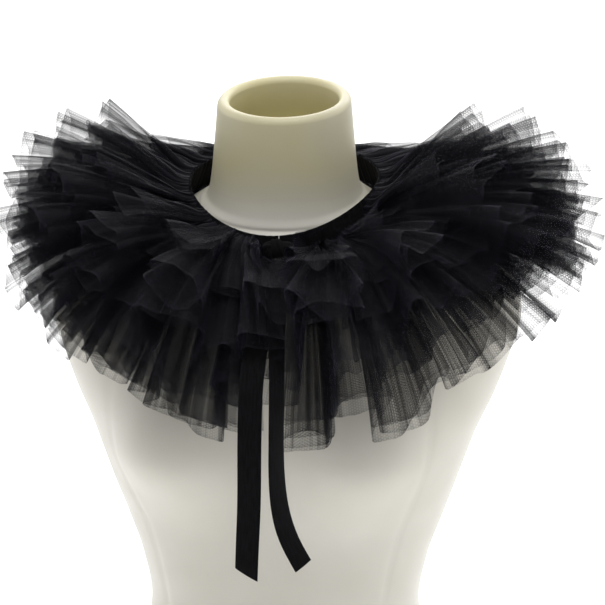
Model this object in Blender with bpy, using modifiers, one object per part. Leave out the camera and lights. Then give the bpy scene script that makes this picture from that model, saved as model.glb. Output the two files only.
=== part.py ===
"""Tulle ruff collar tied round the neck of a limbless dress form.

The ruff is six tiers of gathered tulle sewn to a velvet ribbon neckband, which ties in front in a
knot with two hanging tails. It rests on a hollow, open-necked torso form that stands on its flat
base. The form faces -Y, +X is to a viewer's right, +Z is up, and the origin is the middle of the
base. All lengths are in metres.
"""

import math

import bpy
import numpy as np

MM = 0.001

# ---- driving dimensions of the dress form ----
FORM_HEIGHT = 715 * MM
FORM_WALL = 6 * MM
RIM_WALL = 10 * MM
FORM_SIDES = 40
BUST_HEIGHT = 438 * MM
BUST_SWELL = 33 * MM
BUST_TURN = math.radians(37)
BUST_SPREAD = math.radians(22)
BUST_RISE = 64 * MM
BUST_DROP = 45 * MM

# A row for each level section of the form, from the base up: a superellipse with its own half
# width, front and back depth, squareness and tilt (rise in metres for each metre towards the back).
SECTION_COLUMNS = ("height", "half_width", "front", "back", "squareness", "tilt")
SECTIONS = (
    (0.000, 0.160, 0.104, 0.108, 2.3, 0.00),
    (0.070, 0.171, 0.108, 0.119, 2.3, 0.00),
    (0.130, 0.166, 0.104, 0.117, 2.3, 0.00),
    (0.190, 0.146, 0.096, 0.098, 2.2, 0.00),
    (0.245, 0.123, 0.088, 0.080, 2.2, 0.00),
    (0.290, 0.114, 0.085, 0.073, 2.2, 0.00),
    (0.330, 0.121, 0.089, 0.077, 2.2, 0.00),
    (0.365, 0.133, 0.093, 0.083, 2.2, 0.00),
    (0.395, 0.1435, 0.096, 0.089, 2.3, 0.00),
    (0.420, 0.152, 0.098, 0.094, 2.3, 0.00),
    (0.445, 0.161, 0.099, 0.098, 2.3, 0.00),
    (0.475, 0.1745, 0.099, 0.102, 2.3, 0.00),
    (0.510, 0.187, 0.097, 0.104, 2.3, 0.01),
    (0.540, 0.195, 0.093, 0.102, 2.2, 0.03),
    (0.560, 0.194, 0.089, 0.097, 2.1, 0.06),
    (0.575, 0.180, 0.084, 0.092, 2.0, 0.10),
    (0.589, 0.154, 0.080, 0.086, 2.0, 0.12),
    (0.601, 0.124, 0.077, 0.082, 2.0, 0.15),
    (0.614, 0.099, 0.073, 0.078, 2.0, 0.18),
    (0.624, 0.082, 0.068, 0.073, 2.0, 0.20),
    (0.631, 0.071, 0.064, 0.068, 2.0, 0.21),
    (0.638, 0.063, 0.060, 0.063, 2.0, 0.20),
    (0.651, 0.060, 0.057, 0.060, 2.0, 0.18),
    (0.680, 0.057, 0.055, 0.058, 2.0, 0.18),
    (FORM_HEIGHT, 0.054, 0.054, 0.055, 2.0, 0.19),
)

# ---- driving dimensions of the neckband and its tie ----
BAND_HALF_WIDTH = 82 * MM
BAND_HALF_DEPTH = 81 * MM
BAND_HEIGHT = 635 * MM
BAND_TILT = 0.16
BAND_SAG = 20 * MM
BAND_LEAN = math.radians(22)
BAND_WALL = 1.2 * MM
BAND_TOP = 15 * MM
BAND_BOTTOM = -11 * MM
BAND_COLUMNS = 48
TIE_AT = math.radians(6)
TIE_GAP = math.radians(11.5)
KNOT_SIZE = (31 * MM, 17 * MM, 25 * MM)
KNOT_ROUNDING = 5 * MM
KNOT_STANDS_OUT = 4.0 * MM
KNOT_TIP = math.radians(-12)
RIBBON_WIDTH = 18 * MM
RIBBON_WALL = 1.0 * MM
TAIL_ROWS = 30

# A row for each point down the middle of a ribbon tail, from the knot to the cut end. turn is the
# way that the ribbon's face looks, in degrees round from the front towards +X.
TAIL_COLUMNS = ("x", "y", "z", "turn")
TAILS = {
    "tie_tail_left": (
        (0.0090, -0.0955, 0.5945, 6),
        (0.0100, -0.1180, 0.5910, 6),
        (0.0110, -0.1420, 0.5845, 4),
        (0.0115, -0.1680, 0.5745, 2),
        (0.0120, -0.1920, 0.5640, 0),
        (0.0128, -0.2150, 0.5540, 0),
        (0.0138, -0.2360, 0.5340, 0),
        (0.0146, -0.2460, 0.5060, -2),
        (0.0146, -0.2480, 0.4760, -4),
        (0.0138, -0.2460, 0.4480, -6),
        (0.0122, -0.2440, 0.4220, -8),
        (0.0108, -0.2420, 0.3950, -10),
    ),
    "tie_tail_right": (
        (0.0125, -0.0955, 0.5990, 12),
        (0.0160, -0.1180, 0.5960, 24),
        (0.0190, -0.1420, 0.5895, 36),
        (0.0225, -0.1680, 0.5795, 46),
        (0.0260, -0.1920, 0.5680, 54),
        (0.0300, -0.2130, 0.5500, 60),
        (0.0322, -0.2280, 0.5280, 62),
        (0.0333, -0.2360, 0.5040, 62),
        (0.0336, -0.2380, 0.4780, 60),
        (0.0352, -0.2380, 0.4530, 56),
        (0.0408, -0.2370, 0.4270, 50),
        (0.0530, -0.2350, 0.4020, 44),
    ),
}

# ---- driving dimensions of the tulle ----
TULLE_WALL = 1.0 * MM
FLUTES = 19
FLAT_SHARE = 0.68
ROW_SHARES = (0.0, 0.28, 0.64, 1.0)
HEAD_LENGTH = 11 * MM
HEAD_STEP = 2.0 * MM
HEAD_BEND = 0.3
SEED = 7
PITCH_JITTER = 0.26
DEPTH_JITTER = 0.28
LIFT_JITTER = math.radians(7)
GATHER_DEPTH = 1.6 * MM
GATHER_CLEARANCE = 1.6 * MM
END_TURN = math.radians(-0.5)
SHORTEST_AT = math.radians(-70)
SHORTEST_SHARE = 0.87
TIP = math.radians(2.5)

# A row for each tier, from the one on the shoulders up: its cut width from gather to hem, how far
# each flute swings up and down, how much the cloth droops, and the height of its gathers on the
# band.
TIER_COLUMNS = ("name", "cut_width", "flute_swing", "droop", "sewn_at")
TIERS = (
    ("ruffle_1_under", 164 * MM, math.radians(6.5), math.radians(22), -9.0 * MM),
    ("ruffle_2_lower", 172 * MM, math.radians(7.0), math.radians(23), -6.0 * MM),
    ("ruffle_3_middle", 172 * MM, math.radians(7.5), math.radians(23), -3.0 * MM),
    ("ruffle_4_upper", 162 * MM, math.radians(8.5), math.radians(21), 0.0 * MM),
    ("ruffle_5_crown", 146 * MM, math.radians(9.5), math.radians(18), 3.0 * MM),
    ("ruffle_6_frill", 106 * MM, math.radians(10.0), math.radians(14), 7.0 * MM),
)

# A row for each direction round the neck, 0 in front and 180 behind: the rise of the lowest tier,
# and how much more each next tier rises, in degrees.
RISE_COLUMNS = ("around", "lowest_rise", "step")
RISES = (
    (0, -62, 10.5),
    (30, -53, 11.0),
    (60, -34, 10.8),
    (90, -18, 10.4),
    (135, -54, 8.4),
    (180, -62, 8.2),
)

# ---- colours and finishes ----
FINISHES = {
    "tulle_black": ((0.013, 0.013, 0.016, 1.0), 0.75),
    "velvet_black": ((0.004, 0.004, 0.005, 1.0), 0.95),
    "form_ivory": ((0.68, 0.66, 0.56, 1.0), 0.42),
}


def clear_scene():
    for obj in list(bpy.data.objects):
        bpy.data.objects.remove(obj, do_unlink=True)


def finish(name):
    """The Principled material of that name, made once."""
    if name in bpy.data.materials:
        return bpy.data.materials[name]
    colour, roughness = FINISHES[name]
    material = bpy.data.materials.new(name)
    material.use_nodes = True
    shader = material.node_tree.nodes["Principled BSDF"]
    shader.inputs["Base Color"].default_value = colour
    shader.inputs["Roughness"].default_value = roughness
    shader.inputs["Metallic"].default_value = 0.0
    return material


def column(table, columns, name):
    """One named column of a table, as an array."""
    at = columns.index(name)
    return np.array([row[at] for row in table])


def eased(at, knots, values):
    """Values between the knots of a table, joined by a smooth monotone cubic with no overshoot."""
    knots = np.asarray(knots, float)
    values = np.asarray(values, float)
    steps = np.diff(values) / np.diff(knots)
    slopes = np.zeros(len(values))
    same_way = steps[:-1] * steps[1:] > 0
    slopes[1:-1][same_way] = (2 * steps[:-1] * steps[1:])[same_way] / (steps[:-1] + steps[1:])[same_way]
    slopes[0] = steps[0]
    slopes[-1] = steps[-1]
    at = np.clip(at, knots[0], knots[-1])
    i = np.clip(np.searchsorted(knots, at) - 1, 0, len(knots) - 2)
    width = knots[i + 1] - knots[i]
    t = (at - knots[i]) / width
    return (
        values[i] * (1 + 2 * t) * (1 - t) ** 2
        + values[i + 1] * t**2 * (3 - 2 * t)
        + width * slopes[i] * t * (1 - t) ** 2
        - width * slopes[i + 1] * t**2 * (1 - t)
    )


def add_object(name, points, faces, material, collection):
    mesh = bpy.data.meshes.new(name)
    mesh.from_pydata([tuple(p) for p in points], [], faces)
    mesh.materials.append(finish(material))
    mesh.update()
    obj = bpy.data.objects.new(name, mesh)
    collection.objects.link(obj)
    return obj


def grid_faces(rows, columns, closed=False):
    """Quads between the rows of a grid. closed joins each row's last point to its first."""
    faces = []
    for r in range(rows - 1):
        for c in range(columns if closed else columns - 1):
            after = (c + 1) % columns
            faces.append((r * columns + c, r * columns + after,
                          (r + 1) * columns + after, (r + 1) * columns + c))
    return faces


def add_wall(obj, thickness, offset):
    """Gives an open surface its thickness."""
    wall = obj.modifiers.new("Wall", "SOLIDIFY")
    wall.thickness = thickness
    wall.offset = offset
    wall.use_even_offset = True
    wall.use_quality_normals = True
    return wall


# ---- the dress form ----


def form_section(height, turns):
    """Points of the form's outer surface at one height. turns are angles round from the front."""
    heights = column(SECTIONS, SECTION_COLUMNS, "height")

    def size(name):
        return float(eased(height, heights, column(SECTIONS, SECTION_COLUMNS, name)))

    across = np.sin(turns)
    ahead = np.cos(turns)
    depth = np.where(ahead > 0, size("front"), size("back"))
    power = size("squareness")
    reach = (np.abs(across / size("half_width")) ** power + np.abs(ahead / depth) ** power) ** (-1 / power)
    spread = BUST_RISE if height > BUST_HEIGHT else BUST_DROP
    level = math.exp(-(((height - BUST_HEIGHT) / spread) ** 2))
    for side in (-1, 1):
        away = np.angle(np.exp(1j * (turns - side * BUST_TURN))) / BUST_SPREAD
        reach = reach + BUST_SWELL * level * np.exp(-(away**2))
    x = reach * across
    y = -reach * ahead
    return np.stack([x, y, height + size("tilt") * y], axis=1)


def make_dress_form(collection):
    """A hollow torso and neck: sections lofted from a closed base up to the open rim."""
    turns = 2 * math.pi * np.arange(FORM_SIDES) / FORM_SIDES
    heights = column(SECTIONS, SECTION_COLUMNS, "height")
    points = np.concatenate([form_section(h, turns) for h in heights])
    faces = grid_faces(len(heights), FORM_SIDES, closed=True)
    faces.append(tuple(reversed(range(FORM_SIDES))))
    form = add_object("dress_form", points, faces, "form_ivory", collection)
    rim = form.vertex_groups.new(name="rim")
    first_thick = (len(heights) - 2) * FORM_SIDES
    rim.add(list(range(first_thick, len(heights) * FORM_SIDES)), 1.0, "REPLACE")
    wall = add_wall(form, RIM_WALL, -1)
    wall.vertex_group = "rim"
    wall.thickness_vertex_group = FORM_WALL / RIM_WALL
    form.data.shade_smooth()
    form.data.set_sharp_from_angle(angle=math.radians(50))
    return form


# ---- the neckband and its tie ----


def outward(around):
    """Level unit vectors away from the neck's axis."""
    return np.stack([np.sin(around), -np.cos(around), np.zeros_like(around)], axis=-1)


def band_line(around):
    """The middle line of the neckband, an ellipse that tilts and sags to be lower in front."""
    x = BAND_HALF_WIDTH * np.sin(around)
    y = -BAND_HALF_DEPTH * np.cos(around)
    sag = BAND_SAG * np.clip(np.cos(around), 0, 1) ** 2
    return np.stack([x, y, BAND_HEIGHT + BAND_TILT * y - sag], axis=-1)


def band_up(around):
    """The way up the band's face, which leans in towards the neck."""
    up = np.array([0.0, 0.0, math.cos(BAND_LEAN)])
    return up - outward(around) * math.sin(BAND_LEAN)


def make_neckband(collection):
    """The ribbon round the neck, open in front where it is tied."""
    around = np.linspace(TIE_AT + TIE_GAP, TIE_AT + 2 * math.pi - TIE_GAP, BAND_COLUMNS)
    rows = [band_line(around) + band_up(around) * height for height in (BAND_BOTTOM, BAND_TOP)]
    band = add_object("neckband", np.concatenate(rows), grid_faces(len(rows), BAND_COLUMNS),
                      "velvet_black", collection)
    add_wall(band, BAND_WALL, 0)
    return band


def make_knot(collection):
    """The tied knot, a rounded block between the band's two ends."""
    bpy.ops.mesh.primitive_cube_add(size=1)
    knot = bpy.context.object
    knot.name = knot.data.name = "tie_knot"
    knot.scale = KNOT_SIZE
    knot.location = band_line(np.array(TIE_AT)) + outward(np.array(TIE_AT)) * KNOT_STANDS_OUT
    knot.rotation_euler = (KNOT_TIP, 0, TIE_AT)
    bpy.ops.object.transform_apply(location=False, rotation=False, scale=True)
    rounding = knot.modifiers.new("Rounding", "BEVEL")
    rounding.width = KNOT_ROUNDING
    rounding.segments = 3
    knot.data.materials.append(finish("velvet_black"))
    for used in list(knot.users_collection):
        used.objects.unlink(knot)
    collection.objects.link(knot)
    return knot


def make_tail(name, table, collection):
    """A ribbon end that hangs from the knot: a strip carried down a smooth line, turning as it goes."""
    stations = np.arange(len(table))
    at = np.linspace(0, len(table) - 1, TAIL_ROWS)
    middle = np.stack([eased(at, stations, column(table, TAIL_COLUMNS, axis)) for axis in "xyz"], axis=1)
    turn = np.radians(eased(at, stations, column(table, TAIL_COLUMNS, "turn")))
    across = np.stack([np.cos(turn), np.sin(turn), np.zeros_like(turn)], axis=1)
    edges = [middle - across * RIBBON_WIDTH / 2, middle + across * RIBBON_WIDTH / 2]
    tail = add_object(name, np.concatenate(edges), grid_faces(2, TAIL_ROWS), "velvet_black", collection)
    add_wall(tail, RIBBON_WALL, 0)
    return tail


# ---- the tulle ----


def flute_lines():
    """Where each fold line lies along the band, how far it swings (a crest's two lines up, a trough's
    two lines down), and how much higher or lower than its neighbours the cloth stands there."""
    random = np.random.default_rng(SEED)
    count = 4 * FLUTES
    flat_then_wall = np.where(np.arange(count - 1) % 2 == 0, FLAT_SHARE, 1 - FLAT_SHARE)
    spacing = flat_then_wall * (1 + PITCH_JITTER * random.uniform(-1, 1, count - 1))
    share = np.concatenate([[0], np.cumsum(spacing)])
    around = TIE_AT + TIE_GAP + (2 * math.pi - 2 * TIE_GAP) * share / share[-1]
    swing = np.where(np.arange(count) % 4 < 2, -1.0, 1.0) * (1 + DEPTH_JITTER * random.uniform(-1, 1, count))
    lift = np.convolve(random.uniform(-1, 1, count + 4), np.full(5, 0.2), mode="valid")
    return around, swing, LIFT_JITTER * lift


def sloping(heading, slope):
    """Unit vectors along a level heading, raised by a slope."""
    way = outward(heading) * np.cos(slope)[:, None]
    way[:, 2] = np.sin(slope)
    return way


def rise_of(around, tier_number):
    """The slope of a tier's middle surface, in radians above level, at each direction. The ruff sits
    tipped up a little on its +X side."""
    side = np.degrees(np.abs(np.angle(np.exp(1j * around))))
    knots = column(RISES, RISE_COLUMNS, "around")
    lowest = eased(side, knots, column(RISES, RISE_COLUMNS, "lowest_rise"))
    step = eased(side, knots, column(RISES, RISE_COLUMNS, "step"))
    return np.radians(lowest + step * tier_number) + TIP * np.sin(around)


def thread_heading(around):
    """The level direction that the cloth runs in, which closes over the front gap towards the hem."""
    share = (around - TIE_AT - TIE_GAP) / (2 * math.pi - 2 * TIE_GAP)
    return TIE_AT + END_TURN + (2 * math.pi - 2 * END_TURN) * share


def ruffle_points(number, tier):
    """Rows of points from the gathers to the hem. Each fold line starts on the band, runs out over a
    short head and then for the rest of the cut width, its slope swinging up at a crest and down at a
    trough and falling off by the droop."""
    _, cut_width, flute_swing, droop, sewn_at = tier
    around, swing, lift = flute_lines()
    heading = thread_heading(around)
    head = HEAD_LENGTH + HEAD_STEP * number
    shorter = (1 - SHORTEST_SHARE) * np.clip(np.cos(around - SHORTEST_AT), 0, 1)
    reach = cut_width * (1 - shorter) - head
    middle_rise = rise_of(around, (len(TIERS) - 1) / 2)
    gathers = (band_line(around) + outward(around) * GATHER_CLEARANCE
               + band_up(around) * (sewn_at + GATHER_DEPTH * swing)[:, None])
    rows = [gathers, gathers + sloping(heading, HEAD_BEND * middle_rise) * head]
    for before, after in zip(ROW_SHARES[:-1], ROW_SHARES[1:]):
        slope = rise_of(around, number) + lift + flute_swing * swing + droop * (0.5 - (before + after) / 2)
        rows.append(rows[-1] + sloping(heading, slope) * (reach * (after - before))[:, None])
    return rows


def make_ruffle(number, tier, collection):
    rows = ruffle_points(number, tier)
    ruffle = add_object(tier[0], np.concatenate(rows), grid_faces(len(rows), len(rows[0])),
                        "tulle_black", collection)
    add_wall(ruffle, TULLE_WALL, 0)
    return ruffle


def main():
    clear_scene()
    collection = bpy.data.collections.new("ruff_collar_on_form")
    bpy.context.scene.collection.children.link(collection)
    make_dress_form(collection)
    make_neckband(collection)
    make_knot(collection)
    for name, table in TAILS.items():
        make_tail(name, table, collection)
    for number, tier in enumerate(TIERS):
        make_ruffle(number, tier, collection)


main()
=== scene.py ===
"""Black tulle ruff collar tied round a limbless dress form, as a finished visual model.

Six gathered tiers of sheer tulle, each of two plies, stand out from a velvet ribbon neckband that
ties in front. The form is a smooth off-white shell with an open neck. Everything is in metres in
the frame's own axes: -Y is the front, +X a viewer's right, +Z up.
"""

import math

import bpy
import numpy as np
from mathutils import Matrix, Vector


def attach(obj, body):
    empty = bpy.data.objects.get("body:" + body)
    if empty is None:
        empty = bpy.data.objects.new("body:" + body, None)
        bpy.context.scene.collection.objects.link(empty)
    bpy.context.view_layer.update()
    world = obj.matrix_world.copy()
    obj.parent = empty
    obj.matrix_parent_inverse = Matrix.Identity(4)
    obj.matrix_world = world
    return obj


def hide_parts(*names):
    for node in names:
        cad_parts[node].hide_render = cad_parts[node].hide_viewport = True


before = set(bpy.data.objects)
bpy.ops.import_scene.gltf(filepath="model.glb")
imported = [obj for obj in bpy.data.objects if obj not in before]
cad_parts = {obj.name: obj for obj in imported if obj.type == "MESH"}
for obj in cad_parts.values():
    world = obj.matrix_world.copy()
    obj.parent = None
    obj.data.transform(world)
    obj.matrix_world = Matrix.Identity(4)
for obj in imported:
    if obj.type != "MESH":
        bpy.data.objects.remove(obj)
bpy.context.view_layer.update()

BODY = "root"
MM = 0.001
TURN = 2 * math.pi

# ---- the dress form ----
FORM_HEIGHT = 715 * MM
FORM_WALL = 6 * MM
RIM_WALL = 10 * MM
BUST_HEIGHT = 438 * MM
BUST_SWELL = 33 * MM
BUST_TURN = math.radians(37)
BUST_SPREAD = math.radians(22)
BUST_RISE = 64 * MM
BUST_DROP = 45 * MM

# A row for each level section, from the base up: a superellipse with its own half width, front and
# back depth, squareness and tilt (rise in metres for each metre towards the back).
SECTION_COLUMNS = ("height", "half_width", "front", "back", "squareness", "tilt")
SECTIONS = (
    (0.000, 0.160, 0.104, 0.108, 2.3, 0.00),
    (0.070, 0.171, 0.108, 0.119, 2.3, 0.00),
    (0.130, 0.166, 0.104, 0.117, 2.3, 0.00),
    (0.190, 0.146, 0.096, 0.098, 2.2, 0.00),
    (0.245, 0.123, 0.088, 0.080, 2.2, 0.00),
    (0.290, 0.114, 0.085, 0.073, 2.2, 0.00),
    (0.330, 0.121, 0.089, 0.077, 2.2, 0.00),
    (0.365, 0.133, 0.093, 0.083, 2.2, 0.00),
    (0.395, 0.1435, 0.096, 0.089, 2.3, 0.00),
    (0.420, 0.152, 0.098, 0.094, 2.3, 0.00),
    (0.445, 0.161, 0.099, 0.098, 2.3, 0.00),
    (0.475, 0.1745, 0.099, 0.102, 2.3, 0.00),
    (0.510, 0.187, 0.097, 0.104, 2.3, 0.01),
    (0.540, 0.195, 0.093, 0.102, 2.2, 0.03),
    (0.560, 0.194, 0.089, 0.097, 2.1, 0.06),
    (0.575, 0.180, 0.084, 0.092, 2.0, 0.10),
    (0.589, 0.154, 0.080, 0.086, 2.0, 0.12),
    (0.601, 0.124, 0.077, 0.082, 2.0, 0.15),
    (0.614, 0.099, 0.073, 0.078, 2.0, 0.18),
    (0.624, 0.082, 0.068, 0.073, 2.0, 0.20),
    (0.631, 0.071, 0.064, 0.068, 2.0, 0.21),
    (0.638, 0.063, 0.060, 0.063, 2.0, 0.20),
    (0.651, 0.060, 0.057, 0.060, 2.0, 0.18),
    (0.680, 0.057, 0.055, 0.058, 2.0, 0.18),
    (FORM_HEIGHT, 0.054, 0.054, 0.055, 2.0, 0.19),
)

# ---- the neckband and its tie ----
BAND_HALF_WIDTH = 82 * MM
BAND_HALF_DEPTH = 81 * MM
BAND_HEIGHT = 635 * MM
BAND_TILT = 0.16
BAND_SAG = 20 * MM
BAND_LEAN = math.radians(22)
BAND_TOP = 15 * MM
BAND_BOTTOM = -11 * MM
TIE_AT = math.radians(6)
TIE_GAP = math.radians(11.5)
BAND_END_SHARE = 0.02
RIBBON_WIDTH = 18 * MM
RIBBON_WALL = 1.1 * MM
RIBBON_FOLD = 0.7 * MM

# A row for each point down the middle of a ribbon tail. turn is the way that the ribbon's face
# looks, in degrees round from the front towards +X.
TAIL_COLUMNS = ("x", "y", "z", "turn")
TAILS = {
    "tie_tail_left": (
        (0.0090, -0.0955, 0.5945, 6),
        (0.0100, -0.1180, 0.5910, 6),
        (0.0110, -0.1420, 0.5845, 4),
        (0.0115, -0.1680, 0.5745, 2),
        (0.0120, -0.1920, 0.5640, 0),
        (0.0128, -0.2150, 0.5540, 0),
        (0.0138, -0.2360, 0.5340, 0),
        (0.0146, -0.2460, 0.5060, -2),
        (0.0146, -0.2480, 0.4760, -4),
        (0.0138, -0.2460, 0.4480, -6),
        (0.0122, -0.2440, 0.4220, -8),
        (0.0108, -0.2420, 0.3950, -10),
    ),
    "tie_tail_right": (
        (0.0125, -0.0955, 0.5990, 12),
        (0.0160, -0.1180, 0.5960, 24),
        (0.0190, -0.1420, 0.5895, 36),
        (0.0225, -0.1680, 0.5795, 46),
        (0.0260, -0.1920, 0.5680, 54),
        (0.0300, -0.2130, 0.5500, 60),
        (0.0322, -0.2280, 0.5280, 62),
        (0.0333, -0.2360, 0.5040, 62),
        (0.0336, -0.2380, 0.4780, 60),
        (0.0352, -0.2380, 0.4530, 56),
        (0.0408, -0.2370, 0.4270, 50),
        (0.0530, -0.2350, 0.4020, 44),
    ),
}

# ---- the tulle ----
FLUTES = 19
FLAT_SHARE = 0.68
SEED = 7
PITCH_JITTER = 0.26
DEPTH_JITTER = 0.28
LIFT_JITTER = math.radians(7)
GATHER_DEPTH = 1.6 * MM
GATHER_CLEARANCE = 1.6 * MM
END_TURN = math.radians(-0.5)
SHORTEST_AT = math.radians(-70)
SHORTEST_SHARE = 0.87
TIP = math.radians(2.5)
HEAD_SHARE = 0.13
HEAD_BEND = 0.3
TOP_COVER = 6 * MM
BAND_SHOWS = 6 * MM
HEM_SHARE = 0.03
PLIES = 2
LINE_STEPS = 6
RADIAL_STEPS = 38

# Some flats are pinched in the middle, and each flat reaches its own share of the cut width.
PINCHED_SHARE = 0.40
PINCH = (0.2, 1.3)
SOFT_PINCH = 0.12
TRIM = (0.80, 1.06)
FRONT_REACH = math.radians(50)
PLY_STEP = 0.42
PLY_START = 0.1

# Rows of waves round the neck and size in radians, for the hem's waves and the cloth's sway.
HEM_WAVES = ((53, 0.030), (89, 0.022), (151, 0.014))
SWAYS = ((37, 0.020), (71, 0.016))

# A row for each tier, from the one on the shoulders up: its cut width from gather to hem, how far
# each flute swings up and down, how much the cloth droops, the height of its gathers, how many times
# more it swings in front, the share of the tie's gap that it keeps open, and the angle in degrees by
# which its ends close over that gap.
TIER_COLUMNS = ("name", "cut_width", "flute_swing", "droop", "sewn_at", "swell", "gap", "closing")
TIERS = (
    ("ruffle_1_under", 164 * MM, math.radians(6.5), math.radians(22), -9.0 * MM, 1.1, 1.0, 0.5),
    ("ruffle_2_lower", 172 * MM, math.radians(7.0), math.radians(23), -6.0 * MM, 1.2, 1.0, 0.5),
    ("ruffle_3_middle", 172 * MM, math.radians(7.5), math.radians(23), -3.0 * MM, 1.3, 1.0, 0.5),
    ("ruffle_4_upper", 162 * MM, math.radians(8.5), math.radians(21), 0.0 * MM, 1.6, 0.75, 10.0),
    ("ruffle_5_crown", 146 * MM, math.radians(9.5), math.radians(18), 3.0 * MM, 1.9, 0.75, 12.0),
    ("ruffle_6_frill", 106 * MM, math.radians(10.0), math.radians(14), 7.0 * MM, 2.1, 0.75, 14.0),
)

# A row for each direction round the neck, 0 in front and 180 behind: the rise of the lowest tier
# and how much more each next tier rises, in degrees.
RISE_COLUMNS = ("around", "lowest_rise", "step")
RISES = (
    (0, -62, 10.5),
    (30, -53, 11.0),
    (60, -34, 10.8),
    (90, -18, 10.4),
    (135, -54, 8.4),
    (180, -62, 8.2),
)


# ---- small tools ----


def column(table, columns, name):
    """One named column of a table, as an array."""
    at = columns.index(name)
    return np.array([row[at] for row in table])


def eased(at, knots, values):
    """Values between the knots of a table, joined by a smooth monotone cubic with no overshoot."""
    knots = np.asarray(knots, float)
    values = np.asarray(values, float)
    steps = np.diff(values) / np.diff(knots)
    slopes = np.zeros(len(values))
    same_way = steps[:-1] * steps[1:] > 0
    slopes[1:-1][same_way] = (2 * steps[:-1] * steps[1:])[same_way] / (steps[:-1] + steps[1:])[same_way]
    slopes[0] = steps[0]
    slopes[-1] = steps[-1]
    at = np.clip(at, knots[0], knots[-1])
    i = np.clip(np.searchsorted(knots, at) - 1, 0, len(knots) - 2)
    width = knots[i + 1] - knots[i]
    t = (at - knots[i]) / width
    return (
        values[i] * (1 + 2 * t) * (1 - t) ** 2
        + values[i + 1] * t**2 * (3 - 2 * t)
        + width * slopes[i] * t * (1 - t) ** 2
        - width * slopes[i + 1] * t**2 * (1 - t)
    )


def ramp(low, high, at):
    """0 below low, 1 above high and a smooth S between them."""
    t = np.clip((at - low) / (high - low), 0, 1)
    return t * t * (3 - 2 * t)


def unit(vectors):
    return vectors / np.maximum(np.linalg.norm(vectors, axis=-1, keepdims=True), 1e-12)


def outward(around):
    """Level unit vectors away from the neck's axis."""
    return np.stack([np.sin(around), -np.cos(around), np.zeros_like(around)], axis=-1)


def grid_quads(rows, columns, close_rows=False, close_columns=False):
    """The corner numbers of the quads of a grid, which may close on itself either way."""
    r = np.arange(rows if close_rows else rows - 1)[:, None]
    c = np.arange(columns if close_columns else columns - 1)[None, :]
    right = (c + 1) % columns
    below = (r + 1) % rows
    corners = [r * columns + c, r * columns + right, below * columns + right, below * columns + c]
    return np.stack([np.broadcast_to(k, (r.size, c.size)) for k in corners], axis=-1).reshape(-1, 4)


def surface(name, grid, material, close_rows=False, close_columns=False, caps=False, uv=None, marks=None):
    """An object on a grid of points of shape (rows, columns, 3). caps closes the first and the last row
    with one polygon each. uv is a grid of (u, v) in metres of cloth, and marks holds grids of numbers
    that the materials read by name."""
    rows, columns = grid.shape[:2]
    quads = grid_quads(rows, columns, close_rows, close_columns)
    mesh = bpy.data.meshes.new(name)
    ends = []
    if caps:
        ends = [np.arange(columns)[::-1], np.arange(columns) + (rows - 1) * columns]
    loops = np.concatenate([quads.ravel()] + ends).astype(np.int32)
    sizes = np.concatenate([np.full(len(quads), 4), [len(e) for e in ends]]).astype(np.int32)
    starts = np.concatenate([[0], np.cumsum(sizes)[:-1]]).astype(np.int32)
    mesh.vertices.add(rows * columns)
    mesh.vertices.foreach_set("co", grid.reshape(-1).astype(np.float32))
    mesh.loops.add(len(loops))
    mesh.loops.foreach_set("vertex_index", loops)
    mesh.polygons.add(len(sizes))
    mesh.polygons.foreach_set("loop_start", starts)
    mesh.update(calc_edges=True)
    if uv is not None:
        layer = mesh.uv_layers.new(name="Cloth")
        layer.data.foreach_set("uv", uv.reshape(-1, 2)[loops].reshape(-1).astype(np.float32))
    for mark, values in (marks or {}).items():
        data = mesh.attributes.new(mark, "FLOAT", "POINT").data
        data.foreach_set("value", values.reshape(-1).astype(np.float32))
    mesh.shade_smooth()
    mesh.validate()
    mesh.materials.append(material)
    piece = bpy.data.objects.new(name, mesh)
    bpy.context.scene.collection.objects.link(piece)
    return piece


def place(piece, slot, *nodes):
    """The piece rides on the one body and stands for the nodes, whose CAD parts are hidden. The slot is not
    used.
    """
    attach(piece, BODY)
    if nodes:
        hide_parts(*nodes)


# ---- materials ----


def colour(hexcode):
    """An sRGB hex colour as linear RGBA."""
    parts = [int(hexcode[i:i + 2], 16) / 255 for i in (1, 3, 5)]
    return tuple(p / 12.92 if p <= 0.04045 else ((p + 0.055) / 1.055) ** 2.4 for p in parts) + (1.0,)


def add(tree, kind, inputs=None, **settings):
    """One node with its settings. An input that is a socket is linked, and any other is a value."""
    made = tree.nodes.new(kind)
    for key, value in settings.items():
        setattr(made, key, value)
    for key, value in (inputs or {}).items():
        if isinstance(value, bpy.types.NodeSocket):
            tree.links.new(value, made.inputs[key])
        else:
            made.inputs[key].default_value = value
    return made


def new_material(name):
    """An empty material with its output and a Principled shader."""
    material = bpy.data.materials.new(name)
    material.use_nodes = True
    tree = material.node_tree
    tree.nodes.clear()
    shader = add(tree, "ShaderNodeBsdfPrincipled")
    add(tree, "ShaderNodeOutputMaterial", {"Surface": shader.outputs[0]})
    return material, tree, shader


def tie(tree, shader, **inputs):
    """Sets or links inputs of a shader; an underscore in a name stands for a space."""
    for key, value in inputs.items():
        socket = shader.inputs[key.replace("_", " ")]
        if isinstance(value, bpy.types.NodeSocket):
            tree.links.new(value, socket)
        else:
            socket.default_value = value


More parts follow.
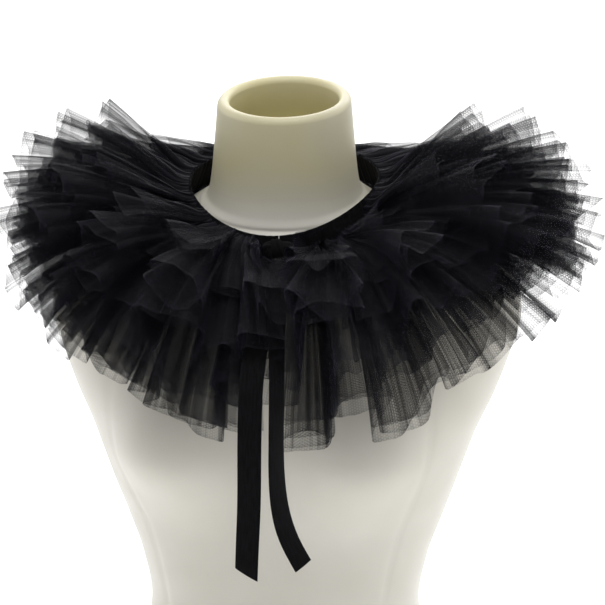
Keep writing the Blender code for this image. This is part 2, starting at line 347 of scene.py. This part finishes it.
def satin_gelcoat():
    """Glass-fibre shell, moulded and sprayed with an off-white satin gelcoat: a broad soft gloss, a patchy
    darker, yellower tone on the neck and a slight orange-peel from the spray.
    Inside the neck it is a pale yellow, brighter than the outside: partly the raw resin's own tone and
    partly painted light, strongest deep in the hollow where shade falls."""
    material, tree, shader = new_material("gelcoat_satin_ivory")
    at = add(tree, "ShaderNodeTexCoord").outputs["Object"]
    cloudy = add(tree, "ShaderNodeTexNoise", {"Vector": at, "Scale": 9.0, "Detail": 3.0})
    tint = add(tree, "ShaderNodeValToRGB", {"Fac": cloudy.outputs["Fac"]})
    tint.color_ramp.elements[0].position = 0.30
    tint.color_ramp.elements[0].color = colour("#d0ccc0")
    tint.color_ramp.elements[1].position = 0.72
    tint.color_ramp.elements[1].color = colour("#dcd9cf")
    # A patchy darker, yellower tone over the neck above the collar, broken up by the cloudy noise.
    height = add(tree, "ShaderNodeSeparateXYZ", {"Vector": at})
    neck = add(tree, "ShaderNodeMapRange", {"Value": height.outputs["Z"], "From Min": 0.625,
                                            "From Max": 0.665, "To Min": 0.0, "To Max": 1.4})
    neck_patches = add(tree, "ShaderNodeMath", {0: neck.outputs[0], 1: cloudy.outputs["Fac"]},
                  operation="MULTIPLY", use_clamp=True)
    neck_tinted = add(tree, "ShaderNodeMix", {"Factor": neck_patches.outputs[0], "A": tint.outputs["Color"],
                                          "B": colour("#cdc497")}, data_type="RGBA")
    # The inside mark paints the inner skin a pale yellow brighter than the outside: the resin's own tone
    # plus painted light, strongest deep in the shaded hollow.
    inside = add(tree, "ShaderNodeAttribute", attribute_name="inside")
    resin_and_painted_glow = add(tree, "ShaderNodeMix", {"Factor": inside.outputs["Fac"], "A": neck_tinted.outputs[2],
                                       "B": colour("#f3e9b0")}, data_type="RGBA")
    peel = add(tree, "ShaderNodeTexNoise", {"Vector": at, "Scale": 320.0, "Detail": 2.0})
    wave = add(tree, "ShaderNodeTexNoise", {"Vector": at, "Scale": 26.0, "Detail": 1.0})
    rough = add(tree, "ShaderNodeMapRange", {"Value": wave.outputs["Fac"], "To Min": 0.34, "To Max": 0.46})
    low = add(tree, "ShaderNodeBump", {"Height": wave.outputs["Fac"], "Strength": 0.10, "Distance": 0.004})
    fine = add(tree, "ShaderNodeBump", {"Height": peel.outputs["Fac"], "Strength": 0.05,
                                        "Distance": 0.0006, "Normal": low.outputs[0]})
    tie(tree, shader, Base_Color=resin_and_painted_glow.outputs[2], Roughness=rough.outputs[0], IOR=1.5,
        Normal=fine.outputs[0])
    return material


def velvet_ribbon():
    """Narrow cotton velvet ribbon: a deep black short pile that takes almost no light face on and a
    little at a glance, with a fine nap that lies down the length and dull woven edges."""
    material, tree, shader = new_material("velvet_ribbon_black")
    cloth = add(tree, "ShaderNodeUVMap", uv_map="Cloth").outputs[0]
    nap = add(tree, "ShaderNodeTexNoise", {"Vector": cloth, "Scale": 2400.0, "Detail": 2.0})
    streak = add(tree, "ShaderNodeMapping", {"Vector": cloth, "Scale": (700.0, 90.0, 1.0)})
    lay = add(tree, "ShaderNodeTexNoise", {"Vector": streak.outputs[0], "Scale": 1.0, "Detail": 2.0})
    shade = add(tree, "ShaderNodeValToRGB", {"Fac": lay.outputs["Fac"]})
    shade.color_ramp.elements[0].position = 0.35
    shade.color_ramp.elements[0].color = colour("#050506")
    shade.color_ramp.elements[1].position = 0.75
    shade.color_ramp.elements[1].color = colour("#111114")
    pile = add(tree, "ShaderNodeBump", {"Height": nap.outputs["Fac"], "Strength": 0.5, "Distance": 0.0004})
    tie(tree, shader, Base_Color=shade.outputs["Color"], Roughness=0.92, Specular_IOR_Level=0.12,
        Sheen_Weight=0.22, Sheen_Roughness=0.45, Sheen_Tint=colour("#3c3c44"), Normal=pile.outputs[0])
    return material


# Nylon tulle has hexagonal holes about 1.2 mm across. Here a hole is drawn 2.0 mm wide, as coarse as
# it needs to be to show.
NET_HOLE = 2.0 * MM
THREAD_COVER = 0.26
HOLE_COVER = 0.05
STREAK_COVER = 0.27


def nylon_tulle():
    """Soft nylon tulle, a hexagonal bobbin net dyed blue-black. The net is three sets of waves 60 degrees
    apart. One ply dims what is behind it by about a sixth. It turns dense along a crease, where it doubles
    at a fold, and at the gathers, and it thins at the sides where the flutes fan out towards the hem.
    Long crushed streaks run from gather to hem."""
    material, tree, shader = new_material("nylon_tulle_black")
    cloth = add(tree, "ShaderNodeUVMap", uv_map="Cloth").outputs[0]
    waves = []
    for degrees in (0, 60, 120):
        way = math.radians(degrees)
        along = add(tree, "ShaderNodeVectorMath", {0: cloth, 1: (math.cos(way), math.sin(way), 0.0)},
                    operation="DOT_PRODUCT")
        phase = add(tree, "ShaderNodeMath", {0: along.outputs["Value"], 1: TURN / NET_HOLE},
                    operation="MULTIPLY")
        waves.append(add(tree, "ShaderNodeMath", {0: phase.outputs[0]}, operation="COSINE").outputs[0])
    pair = add(tree, "ShaderNodeMath", {0: waves[0], 1: waves[1]}, operation="ADD")
    net = add(tree, "ShaderNodeMath", {0: pair.outputs[0], 1: waves[2]}, operation="ADD")
    thread = add(tree, "ShaderNodeMapRange", {"Value": net.outputs[0], "From Min": -1.5, "From Max": 1.0,
                                              "To Min": THREAD_COVER, "To Max": HOLE_COVER})
    dense = add(tree, "ShaderNodeAttribute", attribute_name="dense")
    long_way = add(tree, "ShaderNodeMapping", {"Vector": cloth, "Scale": (150.0, 5.0, 1.0)})
    crush = add(tree, "ShaderNodeTexNoise", {"Vector": long_way.outputs[0], "Scale": 1.0, "Detail": 1.0})
    streak = add(tree, "ShaderNodeMapRange", {"Value": crush.outputs["Fac"], "From Min": 0.54,
                                              "From Max": 0.66, "To Min": 0.0, "To Max": STREAK_COVER})
    covered = add(tree, "ShaderNodeMath", {0: thread.outputs[0], 1: streak.outputs[0]}, operation="ADD")
    cover = add(tree, "ShaderNodeMath", {0: covered.outputs[0], 1: dense.outputs["Fac"]}, operation="ADD",
                use_clamp=True)
    cloud = add(tree, "ShaderNodeTexNoise", {"Vector": cloth, "Scale": 45.0, "Detail": 1.0})
    tone = add(tree, "ShaderNodeMix", {"Factor": cloud.outputs["Fac"], "A": colour("#08080b"),
                                       "B": colour("#181821")}, data_type="RGBA")
    # Along the hem the colour is lifted towards a lighter blue-black: a painted highlight on the cut edge.
    hem = add(tree, "ShaderNodeAttribute", attribute_name="hem")
    painted_hem_highlight = add(tree, "ShaderNodeMix", {"Factor": hem.outputs["Fac"], "A": tone.outputs[2],
                                        "B": colour("#1b1b23")}, data_type="RGBA")
    tie(tree, shader, Base_Color=painted_hem_highlight.outputs[2], Roughness=0.70, Specular_IOR_Level=0.14,
        Sheen_Weight=0.11, Sheen_Roughness=0.4, Sheen_Tint=colour("#8484a0"), Alpha=cover.outputs[0])
    return material


# ---- the dress form ----

FORM_COLUMNS = 216
COLLAR_GROOVE = 1.4 * MM
COLLAR_GROOVE_AT = 630 * MM
COLLAR_GROOVE_WIDE = 1.6 * MM
PANEL_EDGE_AT = math.radians(58)
PANEL_EDGE = 0.9 * MM
PANEL_EDGE_WIDE = math.radians(1.6)
BASE_ROUND = 2.5 * MM
INNER_FLOOR = 8 * MM


def form_points(heights, inset):
    """Points of the form's skin for an array of heights and how far each row stands in from the outer
    skin. A row is the superellipse |x/a|^p + |y/b|^p = 1 with a, b and p eased between the sections, and
    the bust adds a smooth swell exp(-(angle/spread)^2 - (height/spread)^2) on each side. A shallow crease
    runs down each side where the moulded front panel ends."""
    turns = TURN * np.arange(FORM_COLUMNS) / FORM_COLUMNS
    knots = column(SECTIONS, SECTION_COLUMNS, "height")
    size = {name: eased(heights, knots, column(SECTIONS, SECTION_COLUMNS, name))[:, None]
            for name in SECTION_COLUMNS[1:]}
    across = np.sin(turns)[None, :]
    ahead = np.cos(turns)[None, :]
    depth = size["back"] + (size["front"] - size["back"]) * (ahead > 0)
    power = size["squareness"]
    reach = (np.abs(across / size["half_width"]) ** power + np.abs(ahead / depth) ** power) ** (-1 / power)
    spread = np.where(heights > BUST_HEIGHT, BUST_RISE, BUST_DROP)
    level = np.exp(-(((heights - BUST_HEIGHT) / spread) ** 2))[:, None]
    for side in (-1, 1):
        away = np.angle(np.exp(1j * (turns - side * BUST_TURN)))[None, :] / BUST_SPREAD
        reach = reach + BUST_SWELL * level * np.exp(-(away**2))
        edge = np.angle(np.exp(1j * (turns - side * PANEL_EDGE_AT)))[None, :] / PANEL_EDGE_WIDE
        reach = reach - PANEL_EDGE * np.exp(-(edge**2)) * ramp(0.56, 0.50, heights)[:, None]
    reach = np.maximum(reach - inset[:, None], 1e-4)
    x = reach * across
    y = -reach * ahead
    return np.stack([x, y, heights[:, None] + size["tilt"] * y], axis=-1)


def make_form(material):
    """One closed shell: the flat base, the outer skin up to a rounded rim, and the inner skin down to
    the inner floor."""
    outer = np.concatenate([np.linspace(BASE_ROUND, 0.600, 170), np.linspace(0.600, 0.660, 64)[1:],
                            np.linspace(0.660, FORM_HEIGHT - RIM_WALL / 2, 18)[1:]])
    roll = np.linspace(0, math.pi, 25)
    edge = np.linspace(math.pi / 2, 0, 6)
    inner = np.linspace(FORM_HEIGHT - RIM_WALL / 2, INNER_FLOOR, 110)
    wall = FORM_WALL + (RIM_WALL - FORM_WALL) * ramp(FORM_HEIGHT - 0.045, FORM_HEIGHT - 0.010, inner)
    heights = np.concatenate([
        [0.0], BASE_ROUND * (1 - np.sin(edge)), outer[1:-1],
        FORM_HEIGHT - RIM_WALL / 2 + RIM_WALL / 2 * np.sin(roll), inner[1:], [INNER_FLOOR]])
    inset = np.concatenate([
        [1.0], BASE_ROUND * (1 - np.cos(edge)),
        COLLAR_GROOVE * np.exp(-(((outer[1:-1] - COLLAR_GROOVE_AT) / COLLAR_GROOVE_WIDE) ** 2)),
        RIM_WALL / 2 * (1 - np.cos(roll)), wall[1:], [1.0]])
    grid = form_points(heights, inset)
    # The inside mark rises from 0.35 at the rim to 1 five centimetres down; the gelcoat paints it a brighter
    # pale yellow, partly resin tone and partly painted light in the shaded hollow.
    inside = np.concatenate([np.zeros(len(edge) + len(outer) + 13), np.ones(11 + len(inner))])
    deep = ramp(FORM_HEIGHT, FORM_HEIGHT - 0.05, heights)
    marks = {"inside": np.repeat((inside * (0.35 + 0.65 * deep))[:, None], FORM_COLUMNS, axis=1)}
    form = surface("dress_form_skin", grid, material, close_columns=True, caps=True, marks=marks)
    place(form, "form_ivory", "dress_form")
    return form


# ---- the ribbon ----


def carried(middle, across, face, width, wall, cup, slants=(0.0, 0.0)):
    """A ribbon's closed skin: an oval profile, wide along across and thin along face, carried down the
    points of middle. cup bows the profile by cup times (2u)^2, and each slant moves the cut at that end
    along the ribbon by slant times u, where u runs from -1/2 to 1/2 across the width."""
    ring = TURN * np.arange(44) / 44
    u = np.cos(ring) * (np.abs(np.cos(ring)) + 1e-9) ** (-0.62) / 2
    v = np.sin(ring) * (np.abs(np.sin(ring)) + 1e-9) ** (-0.35) / 2
    length = np.concatenate([[0], np.cumsum(np.linalg.norm(np.diff(middle, axis=0), axis=1))])
    near_end = 12 * MM
    shift = (slants[0] * (1 - ramp(0, near_end, length))
             + slants[1] * ramp(length[-1] - near_end, length[-1], length))[:, None] * u[None, :]
    along = unit(np.gradient(middle, axis=0))
    grid = (middle[:, None, :]
            + across[:, None, :] * (u * width)[None, :, None]
            + face[:, None, :] * (v * wall + cup * (2 * u) ** 2)[None, :, None]
            + along[:, None, :] * shift[:, :, None])
    uv = np.stack([np.broadcast_to(u * width, shift.shape), length[:, None] + shift], axis=-1)
    return grid, uv


def band_line(around):
    """The middle line of the neckband, an ellipse that tilts and sags to be lower in front."""
    x = BAND_HALF_WIDTH * np.sin(around)
    y = -BAND_HALF_DEPTH * np.cos(around)
    sag = BAND_SAG * np.clip(np.cos(around), 0, 1) ** 2
    return np.stack([x, y, BAND_HEIGHT + BAND_TILT * y - sag], axis=-1)


def band_up(around):
    """The way up the band's face, which leans in towards the neck."""
    up = np.array([0.0, 0.0, math.cos(BAND_LEAN)])
    return up - outward(around) * math.sin(BAND_LEAN)


BAND_STEPS = 430
KNOT_HALF_WIDTH = 13.0 * MM
KNOT_HALF_DEPTH = 7.0 * MM
KNOT_HALF_HEIGHT = 10.5 * MM
KNOT_OUT = 6.5 * MM
KNOT_UP = 1.0 * MM
WRAP_LEAN = 0.35
WRAP_DEPTH = 8.6 * MM
WRAP_HEIGHT = 12.4 * MM
WRAP_WIDTH = 13 * MM


def make_neckband(material):
    """The ribbon round the neck, with small uneven waves where the gathers pull at it."""
    end = TIE_GAP * BAND_END_SHARE
    around = np.linspace(TIE_AT + end, TIE_AT + TURN - end, BAND_STEPS)
    up = band_up(around)
    face = unit(np.cross(np.gradient(band_line(around), axis=0), up))
    pull = 0.35 * MM * np.sin(around * 61 + 2 * np.sin(around * 7)) + 0.25 * MM * np.sin(around * 97)
    middle = band_line(around) + up * ((BAND_TOP + BAND_BOTTOM) / 2) + face * pull[:, None]
    width = BAND_TOP - BAND_BOTTOM
    grid, uv = carried(middle, up, face, width, RIBBON_WALL, 0.3 * MM)
    band = surface("neckband_ribbon", grid, material, close_columns=True, caps=True, uv=uv)
    place(band, "velvet_black", "neckband")
    # The stated length is a typed one. The line of the band comes to about 0.52 m.
    return band


def blocky(wave):
    """A sine or cosine with its swings squared off, which rounds a block instead of a ball."""
    return np.sign(wave) * np.abs(wave) ** 0.62


def make_knot(material):
    """The tie: a rounded block with soft creases, and the ribbon wrapped once round its middle."""
    out = outward(np.array(TIE_AT))
    side = np.array([math.cos(TIE_AT), math.sin(TIE_AT), 0.0])
    up = np.array([0.0, 0.0, 1.0])
    centre = band_line(np.array(TIE_AT)) + out * KNOT_OUT + up * KNOT_UP
    rows = np.linspace(0.02, math.pi - 0.02, 60)[:, None]
    ring = (TURN * np.arange(96) / 96)[None, :]
    across = blocky(np.cos(rows)) * np.ones_like(ring)
    girth = np.sin(rows) ** 0.4
    crease = 1 - 0.07 * np.cos(5 * ring + 1.3 * across) * np.abs(across) ** 0.8
    a = across[..., None] * KNOT_HALF_WIDTH * side
    b = (girth * blocky(np.cos(ring)) * crease)[..., None] * KNOT_HALF_DEPTH * out
    c = (girth * blocky(np.sin(ring)) * crease)[..., None] * KNOT_HALF_HEIGHT * up
    lump = surface("tie_knot_core", centre + a + b + c, material, close_columns=True, caps=True,
                   uv=np.stack([13 * MM * across, 30 * MM * ring / TURN * np.ones_like(rows)], axis=-1))
    place(lump, "velvet_black", "tie_knot")
    round_it = TURN * np.arange(120) / 120
    axis = unit(side + WRAP_LEAN * up)
    over = unit(up - WRAP_LEAN * side)
    hold = WRAP_DEPTH + 0.5 * MM * np.sin(3 * round_it)
    tall = WRAP_HEIGHT + 0.5 * MM * np.cos(2 * round_it + 1)
    middle = (centre + np.cos(round_it)[:, None] * hold[:, None] * out
              + np.sin(round_it)[:, None] * tall[:, None] * over)
    face = unit(np.cos(round_it)[:, None] * out * MM / WRAP_DEPTH
                + np.sin(round_it)[:, None] * over * MM / WRAP_HEIGHT)
    width = WRAP_WIDTH + 2.5 * MM * np.cos(round_it)
    ring = TURN * np.arange(36) / 36
    u = np.cos(ring) / 2
    v = np.sin(ring) * (np.abs(np.sin(ring)) + 1e-9) ** (-0.35) / 2
    pleat = 0.55 * MM * np.cos(3 * TURN * u + 0.7)
    grid = (middle[:, None, :] + axis * (u[None, :] * width[:, None])[..., None]
            + face[:, None, :] * (v * 1.6 * MM + pleat - 1.5 * MM * (2 * u) ** 2)[None, :, None])
    uv = np.stack([np.broadcast_to(u * WRAP_WIDTH, grid.shape[:2]),
                   np.broadcast_to(round_it[:, None] * 10 * MM, grid.shape[:2])], axis=-1)
    wrap = surface("tie_knot_wrap", grid, material, close_rows=True, close_columns=True, uv=uv)
    place(wrap, "velvet_black")
    return lump


def make_tail(name, table, material):
    """A ribbon end hung from the knot, down the table's smooth line, turning as it goes."""
    stations = np.arange(len(table))
    at = np.linspace(0, len(table) - 1, 260)
    middle = np.stack([eased(at, stations, column(table, TAIL_COLUMNS, axis)) for axis in "xyz"], axis=1)
    kernel = np.hanning(41) / np.hanning(41).sum()
    held = np.pad(middle, ((20, 20), (0, 0)), mode="reflect", reflect_type="odd")
    middle = np.stack([np.convolve(held[:, k], kernel, mode="valid") for k in range(3)], axis=1)
    turn = np.radians(eased(at, stations, column(table, TAIL_COLUMNS, "turn")))
    across = np.stack([np.cos(turn), np.sin(turn), np.zeros_like(turn)], axis=1)
    face = unit(np.cross(across, np.gradient(middle, axis=0)))
    grid, uv = carried(middle, across, face, RIBBON_WIDTH, RIBBON_WALL, RIBBON_FOLD,
                       slants=(0.0, 9 * MM if name.endswith("left") else -7 * MM))
    tail = surface(name + "_ribbon", grid, material, close_columns=True, caps=True, uv=uv)
    place(tail, "velvet_black", name)
    return tail


# ---- the tulle ----


def thread_heading(around):
    """The level direction that the cloth runs in."""
    share = (around - TIE_AT - TIE_GAP) / (TURN - 2 * TIE_GAP)
    return TIE_AT + END_TURN + (TURN - 2 * END_TURN) * share


def rise_of(around, tier_number):
    """The slope of a tier's middle surface, in radians above level, at each direction. The ruff sits
    tipped up a little on its +X side."""
    side = np.degrees(np.abs(np.angle(np.exp(1j * around))))
    knots = column(RISES, RISE_COLUMNS, "around")
    lowest = eased(side, knots, column(RISES, RISE_COLUMNS, "lowest_rise"))
    step = eased(side, knots, column(RISES, RISE_COLUMNS, "step"))
    return np.radians(lowest + step * tier_number) + TIP * np.sin(around)


def fold_lines(number, ply):
    """The fold lines of one ply: for each, its place round the band, its swing (crests up, troughs down),
    its lift, how far it leans sideways over its neighbour and its share of the cut width. Every tier
    shares the flutes, and each ply has its own pinches in the middle of the flats."""
    random = np.random.default_rng(SEED)
    count = 4 * FLUTES
    flat_then_wall = np.where(np.arange(count - 1) % 2 == 0, FLAT_SHARE, 1 - FLAT_SHARE)
    spacing = flat_then_wall * (1 + PITCH_JITTER * random.uniform(-1, 1, count - 1))
    share = np.concatenate([[0], np.cumsum(spacing)])
    gap = TIE_GAP * column(TIERS, TIER_COLUMNS, "gap")[number]
    around = TIE_AT + gap + (TURN - 2 * gap) * share / share[-1]
    swing = np.where(np.arange(count) % 4 < 2, -1.0, 1.0) * (1 + DEPTH_JITTER * random.uniform(-1, 1, count))
    lift = LIFT_JITTER * np.convolve(random.uniform(-1, 1, count + 4), np.full(5, 0.2), mode="valid")
    own = np.random.default_rng(100 + 10 * number + ply)
    flats = count // 2
    lean = np.radians(own.uniform(0.8, 3.0, flats))
    pinch = own.uniform(*PINCH, flats) * np.where(own.uniform(0, 1, flats) < PINCHED_SHARE, 1, SOFT_PINCH)
    slip = own.uniform(-0.18, 0.18, flats)
    trim = own.uniform(*TRIM, flats)
    first, last = np.arange(flats) * 2, np.arange(flats) * 2 + 1

    def woven(at_first, at_middle, at_last):
        return np.stack([at_first, at_middle, at_last], axis=1).ravel()

    middle = around[first] * (0.5 - slip) + around[last] * (0.5 + slip)
    return (
        woven(around[first], middle, around[last]),
        woven(swing[first], (swing[first] + swing[last]) / 2 * (1 - pinch), swing[last]),
        woven(lift[first], (lift[first] + lift[last]) / 2, lift[last]),
        woven(-lean, 0 * lean, lean),
        woven(trim, trim, trim),
    )


def softened(values, width):
    """The values, one for each column, rounded by a bell of that width in columns."""
    bell = np.hanning(2 * width + 3)
    held = np.pad(values, width + 1, mode="edge")
    return np.convolve(held, bell / bell.sum(), mode="valid")


def make_ply(number, ply, material):
    """One ply of a tier as an open sheet. Each column starts on the band and runs out for the cut width
    with slope = rise + lift + swing + droop, and a heading that leans over at the folds, so that the sheet
    bends into flutes whose walls tuck under their tops. In front the flutes swing further and roll over
    into soft loops. Fine gathers ripple it near the band and small waves near the hem."""
    name, cut_width, flute_swing, droop, sewn_at, swell, _, closing = TIERS[number]
    own = np.random.default_rng(500 + 10 * number + ply)
    around_at, swing_at, lift_at, lean_at, trim_at = fold_lines(number, ply)
    lines = len(around_at)
    columns = (lines - 1) * LINE_STEPS + 1
    at = np.arange(columns) / LINE_STEPS
    spread = [np.interp(at, np.arange(lines), v) for v in (around_at, swing_at, lift_at, lean_at, trim_at)]
    crisp = [softened(v, 1) for v in spread]
    soft = [softened(v, 4) for v in spread]
    front = np.exp(-((np.angle(np.exp(1j * spread[0])) / FRONT_REACH) ** 2))
    around, swing, lift, lean, trim = [c + (s - c) * (0.1 + 0.9 * front) for c, s in zip(crisp, soft)]
    side = np.degrees(np.angle(np.exp(1j * (around - TIE_AT))))
    heading = thread_heading(around) + lean * (1 + 1.6 * swell * front)
    shut = -math.radians(closing) * np.sign(side) * np.exp(-((side / 42) ** 2))
    wide = np.linspace(0, 1, RADIAL_STEPS + 1)
    t = (wide + 0.35 * wide * (1 - wide) * (wide - 0.5))[:, None]

    tier_number = number + (PLY_STEP * ply - PLY_START)
    shorter = (1 - SHORTEST_SHARE) * np.clip(np.cos(around - SHORTEST_AT), 0, 1)
    reach = cut_width * (1 - shorter) * (1 - (1 - trim) * (1 - 0.6 * front))
    middle_rise = rise_of(around, (len(TIERS) - 1) / 2)
    main = rise_of(around, tier_number) + lift
    hem_wave = np.zeros(columns)
    for waves, size in HEM_WAVES:
        hem_wave += size * np.sin(around * waves + own.uniform(0, TURN) + 1.7 * np.sin(around * 9 + number))
    flute = (flute_swing * swing)[None, :] * (1 + (swell - 1) * front[None, :] * ramp(0.1, 0.7, t))
    slope = main[None, :] + flute + droop * (0.5 - t) + hem_wave[None, :] * ramp(0.25, 1.0, t)
    head = ramp(0.0, 2 * HEAD_SHARE, t)
    slope = slope * head + (HEAD_BEND * middle_rise)[None, :] * (1 - head)
    sway = np.zeros(columns)
    for waves, size in SWAYS:
        sway += size * np.sin(around * waves + own.uniform(0, TURN))
    turn = heading[None, :] + sway[None, :] * ramp(0.2, 1.0, t) + shut[None, :] * ramp(0.10, 0.34, t)
    way = np.stack([np.sin(turn) * np.cos(slope), -np.cos(turn) * np.cos(slope), np.sin(slope)], axis=-1)
    steps = np.diff(t, axis=0)[:, :, None] * reach[None, :, None] * (way[1:] + way[:-1]) / 2
    bare = ramp(-15, -9, side) * ramp(64, 48, side)
    upper = np.clip(sewn_at / (7 * MM), 0, 1)
    sewn = sewn_at + 1.2 * MM * ply + upper * (TOP_COVER * (1 - bare) - BAND_SHOWS * bare)
    start = (band_line(around) + outward(around) * GATHER_CLEARANCE
             + band_up(around) * (sewn + GATHER_DEPTH * swing)[:, None])
    grid = start[None] + np.concatenate([np.zeros((1, columns, 3)), np.cumsum(steps, axis=0)])

    pleats = np.sin(around * 100 + 2.5 * np.sin(around * 13 + own.uniform(0, TURN)))
    ripple = (pleats + 0.5 * np.sin(around * 163 + 3 * np.sin(around * 11)))[None, :]
    size = (1.0 * MM + 2.4 * MM * ramp(0.0, 0.22, t)) * (1 - ramp(0.22, 0.75, t))
    down = np.gradient(grid, axis=0)
    sideways = np.gradient(grid, axis=1)
    normal = unit(np.cross(sideways, down))
    grid = grid + normal * (ripple * size)[..., None]

    uv_across = np.cumsum(np.concatenate([[0], np.linalg.norm(np.diff(grid[-1], axis=0), axis=1)]))
    uv = np.stack([np.broadcast_to(uv_across[None, :], grid.shape[:2]),
                   np.broadcast_to(t * cut_width, grid.shape[:2])], axis=-1)
    bend = np.abs(np.gradient(np.gradient(swing)))
    bend = np.clip(1.8 * bend / bend.max(), 0, 1)
    dense = (0.46 * bend[None, :] * ramp(0.10, 0.4, t) + 0.66 * (1 - ramp(0.12, 0.50, t))
             + 0.05 * np.clip(ripple, 0, 2) * (1 - ramp(0.2, 0.7, t))
             + 0.07 * front[None, :] - 0.11 * ramp(0.4, 1.0, t) * (1 - front[None, :]))
    # The hem mark covers the last 3% of the cut width; it makes the net denser there, and the tulle paints
    # it lighter as a painted highlight.
    hem = np.broadcast_to(ramp(1 - HEM_SHARE, 1.0, t), grid.shape[:2])
    sheet = surface(f"{name}_ply_{ply + 1}", grid, material, uv=uv,
                    marks={"dense": dense + 0.15 * hem, "hem": hem})
    place(sheet, "tulle_black", *([name] if ply == 0 else []))
    return sheet


# ---- the stage, light and camera ----

CAMERA_AT = (9.0, 14.0)
CAMERA_FROM = 1.9
CAMERA_LOOKS = (0.0147, 0.001, 0.5435)
SEEN_WIDTH = 0.5
SWEEP_STEP = 0.2
SWEEP_FRONT = -7.2
SWEEP_HALF_WIDTH = 42
SWEEP_BELOW = 0.0005
SWEEP_GLOW = 0.38
WORLD_LIGHT = 0.25
NET_LAYERS = 28
MIDDLE = (0, 0, 0.5)

# A row for each light: its name, place, aim, size and power in watts.
LIGHTS = (
    ("left_window", (-1.9, 0.3, 1.2), MIDDLE, (1.2, 1.8), 9),
    ("right_window", (1.9, 0.3, 1.2), MIDDLE, (1.2, 1.8), 9),
    ("front_fill", (0.2, -2.4, 1.7), MIDDLE, (1.6, 1.2), 3),
    ("top_box", (0.0, -0.5, 2.4), MIDDLE, (1.4, 1.4), 20),
    ("floor_wash", (0.0, 3.0, 2.6), (0.0, 2.95, 0.0), (4.0, 3.6), 105),
)


def make_stage():
    """A pale studio floor, wide enough to go round the form, that curves up into a wall far behind."""
    t = np.linspace(0, 1, 91)[:, None]
    bend = math.pi / 2 * ramp(0.62, 0.74, t)
    run = np.cumsum(np.cos(bend), axis=0) * SWEEP_STEP
    rise = np.cumsum(np.sin(bend), axis=0) * SWEEP_STEP
    x = np.linspace(-SWEEP_HALF_WIDTH, SWEEP_HALF_WIDTH, 15)[None, :]
    grid = np.stack([x + 0 * run, run + SWEEP_FRONT + 0 * x, rise - SWEEP_BELOW + 0 * x], axis=-1)
    material, tree, shader = new_material("paper_sweep_white")
    at = add(tree, "ShaderNodeTexCoord").outputs["Object"]
    grain = add(tree, "ShaderNodeTexNoise", {"Vector": at, "Scale": 60.0})
    tint = add(tree, "ShaderNodeMix", {"Factor": grain.outputs["Fac"], "A": colour("#f4f4f4"),
                                       "B": colour("#fafafa")}, data_type="RGBA")
    tie(tree, shader, Base_Color=tint.outputs[2], Roughness=0.9,
        Emission_Color=(1.0, 1.0, 1.0, 1.0), Emission_Strength=SWEEP_GLOW)
    surface("sweep", grid, material)


def add_light(name, at, looks, size, power):
    data = bpy.data.lights.new(name, "AREA")
    data.shape = "RECTANGLE"
    data.size, data.size_y = size
    data.energy = power
    lamp = bpy.data.objects.new(name, data)
    bpy.context.scene.collection.objects.link(lamp)
    lamp.location = at
    lamp.rotation_euler = (Vector(looks) - Vector(at)).to_track_quat("-Z", "Y").to_euler()


def light_the_stage():
    world = bpy.data.worlds.new("soft_room")
    world.use_nodes = True
    world.node_tree.nodes["Background"].inputs["Color"].default_value = (1.0, 1.0, 1.0, 1.0)
    world.node_tree.nodes["Background"].inputs["Strength"].default_value = WORLD_LIGHT
    bpy.context.scene.world = world
    for row in LIGHTS:
        add_light(*row)
    scene = bpy.context.scene
    scene.view_settings.view_transform = "Standard"
    scene.cycles.transparent_max_bounces = NET_LAYERS


def make_camera():
    azimuth, elevation = (math.radians(a) for a in CAMERA_AT)
    back = Vector((math.sin(azimuth) * math.cos(elevation), -math.cos(azimuth) * math.cos(elevation),
                   math.sin(elevation)))
    data = bpy.data.cameras.new("camera")
    data.lens = data.sensor_width * CAMERA_FROM / SEEN_WIDTH
    camera = bpy.data.objects.new("camera", data)
    bpy.context.scene.collection.objects.link(camera)
    camera.location = Vector(CAMERA_LOOKS) + back * CAMERA_FROM
    camera.rotation_euler = (-back).to_track_quat("-Z", "Y").to_euler()
    bpy.context.scene.camera = camera


def main():
    make_camera()
    make_stage()
    light_the_stage()
    make_form(satin_gelcoat())
    velvet = velvet_ribbon()
    make_neckband(velvet)
    make_knot(velvet)
    for name, table in TAILS.items():
        make_tail(name, table, velvet)
    tulle = nylon_tulle()
    for number in range(len(TIERS)):
        for ply in range(PLIES):
            make_ply(number, ply, tulle)


main()
